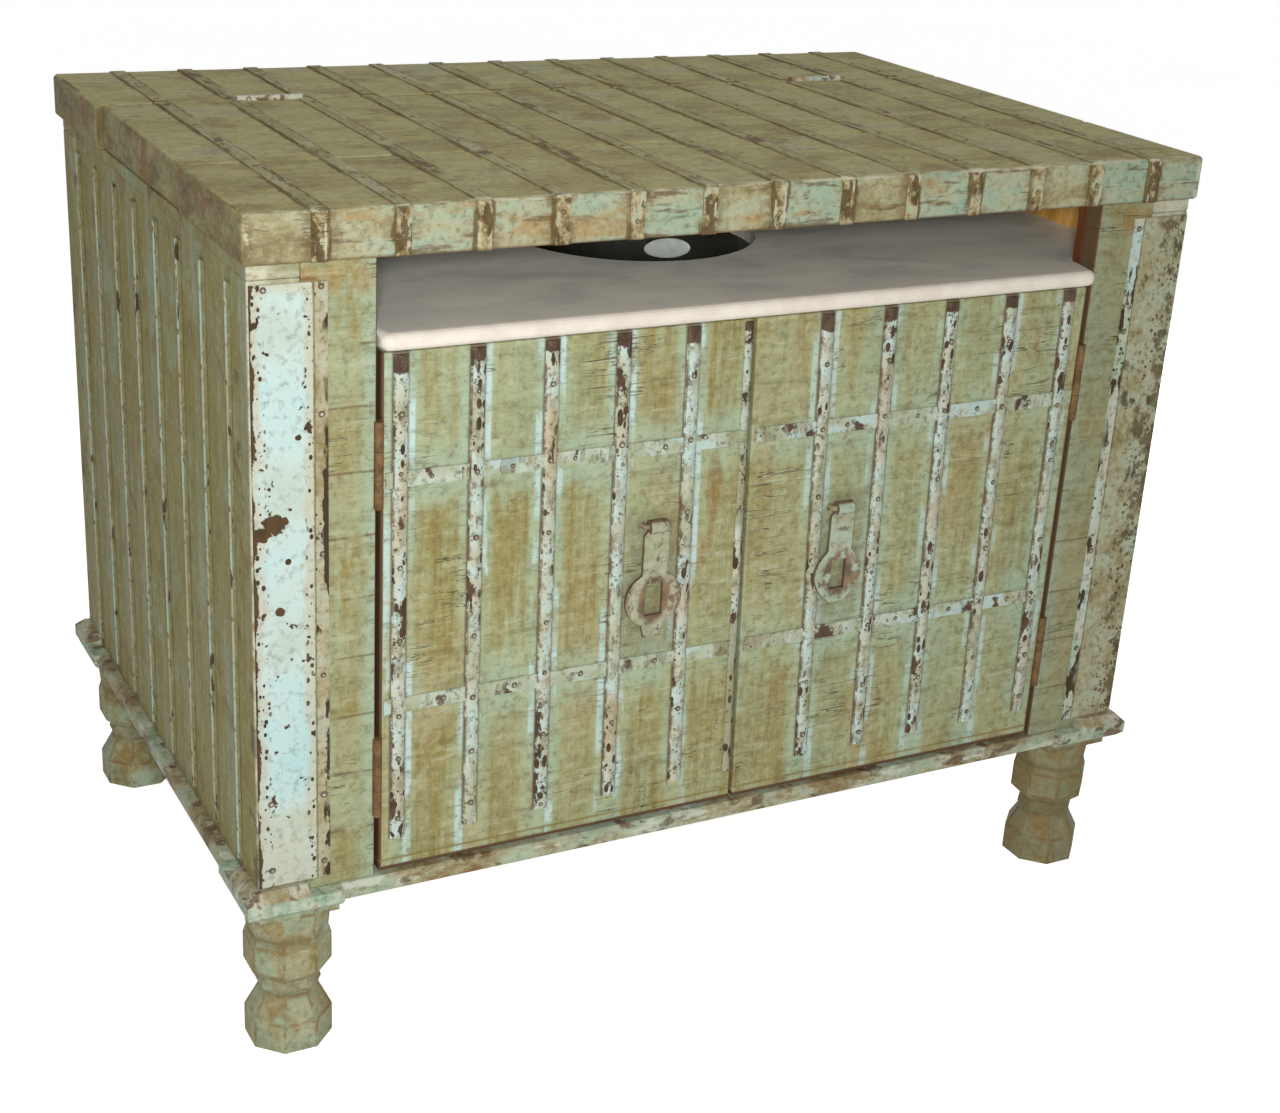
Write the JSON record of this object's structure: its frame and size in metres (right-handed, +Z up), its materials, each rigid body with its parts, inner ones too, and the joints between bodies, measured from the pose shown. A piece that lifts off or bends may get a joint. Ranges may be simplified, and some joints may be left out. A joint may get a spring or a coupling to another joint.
{
  "type": "bar cabinet",
  "caption": "Bar cabinet made from an iron-strapped chest on octagonal legs, with a hinged lid over a marble counter with a sink and two doors below.",
  "frame": {"origin": "on the floor under the middle of the base moulding", "axes": "+X to the right as seen from the front, +Y from the doors to the back, +Z up"},
  "size_m": [1.116, 0.729, 0.9005],
  "materials": {
    "green_paint": "worn sage paint over ochre wood",
    "olive_paint": "worn olive paint",
    "pale_iron": "chipped pale blue paint over brown iron",
    "rusted_iron": "rusted",
    "bare_wood": "bare red-brown wood",
    "ochre_wood": "bare ochre wood",
    "marble": "polished",
    "dark_enamel": "dark gloss enamel",
    "bright_metal": "polished"
  },
  "bodies": {
    "cabinet": {"back_panel": "ochre_wood", "base_rail_back": "green_paint", "base_rail_front": "green_paint", "base_rail_left": "green_paint", "base_rail_right": "green_paint", "batten_left": "bare_wood", "batten_right": "bare_wood", "bottom_board": "ochre_wood", "corner_plate_left": "pale_iron", "corner_plate_right": "pale_iron", "counter_bearer_back": "ochre_wood", "counter_bearer_front": "ochre_wood", "counter_bearer_left": "ochre_wood", "counter_bearer_right": "ochre_wood", "counter_slab": "marble", "door_hinge_left_lower_fixed_leaf": "rusted_iron", "door_hinge_left_upper_fixed_leaf": "rusted_iron", "door_hinge_right_lower_fixed_leaf": "rusted_iron", "door_hinge_right_upper_fixed_leaf": "rusted_iron", "drain": "bright_metal", "drain_lock_nut": "bright_metal", "leg_back_left": "green_paint", "leg_back_right": "green_paint", "leg_front_left": "green_paint", "leg_front_right": "green_paint", "lid_hinge_left_fixed_leaf": "pale_iron", "lid_hinge_right_fixed_leaf": "pale_iron", "post_back_left": "olive_paint", "post_back_right": "olive_paint", "post_front_left": "olive_paint", "post_front_right": "olive_paint", "post_strap_left": "pale_iron", "post_strap_right": "pale_iron", "rear_top_board": "olive_paint", "side_panel_left": "olive_paint", "side_panel_right": "olive_paint", "sink_bowl": "dark_enamel", "sink_overflow_plate": "bright_metal", "stile_left": "green_paint", "stile_right": "green_paint", "top_rail_back": "olive_paint", "top_rail_left": "olive_paint", "top_rail_right": "olive_paint"},
    "lid": {"lid_front_board": "olive_paint", "lid_middle_board": "olive_paint", "lid_hinge_left_moving_leaf": "pale_iron", "lid_hinge_right_moving_leaf": "pale_iron"},
    "left_door": {"door_left": "green_paint", "door_left_straps": "pale_iron", "door_hinge_left_lower_moving_leaf": "rusted_iron", "door_hinge_left_upper_moving_leaf": "rusted_iron", "hasp_staple_left": "rusted_iron"},
    "right_door": {"door_right": "green_paint", "door_right_straps": "pale_iron", "door_hinge_right_lower_moving_leaf": "rusted_iron", "door_hinge_right_upper_moving_leaf": "rusted_iron", "hasp_staple_right": "rusted_iron"},
    "left_hasp": {"hasp_left": "pale_iron"},
    "right_hasp": {"hasp_right": "pale_iron"}
  },
  "joints": [
    {"name": "lid_hinge", "type": "hinge", "parent": "cabinet", "child": "lid", "pos_m": [0, 0.156, 0.896], "axis": [-1, 0, 0], "range_deg": [0, 110]},
    {"name": "door_left_hinge", "type": "hinge", "parent": "cabinet", "child": "left_door", "pos_m": [-0.41695, -0.35, 0.47725], "axis": [0, 0, -1], "range_deg": [0, 165]},
    {"name": "door_right_hinge", "type": "hinge", "parent": "cabinet", "child": "right_door", "pos_m": [0.41695, -0.35, 0.47725], "axis": [0, 0, 1], "range_deg": [0, 165]},
    {"name": "hasp_left_swing", "type": "hinge", "parent": "left_door", "child": "left_hasp", "pos_m": [-0.115, -0.3568, 0.545], "axis": [-1, 0, 0], "range_deg": [0, 150]},
    {"name": "hasp_right_swing", "type": "hinge", "parent": "right_door", "child": "right_hasp", "pos_m": [0.113, -0.3568, 0.536], "axis": [-1, 0, 0], "range_deg": [0, 150]}
  ]
}
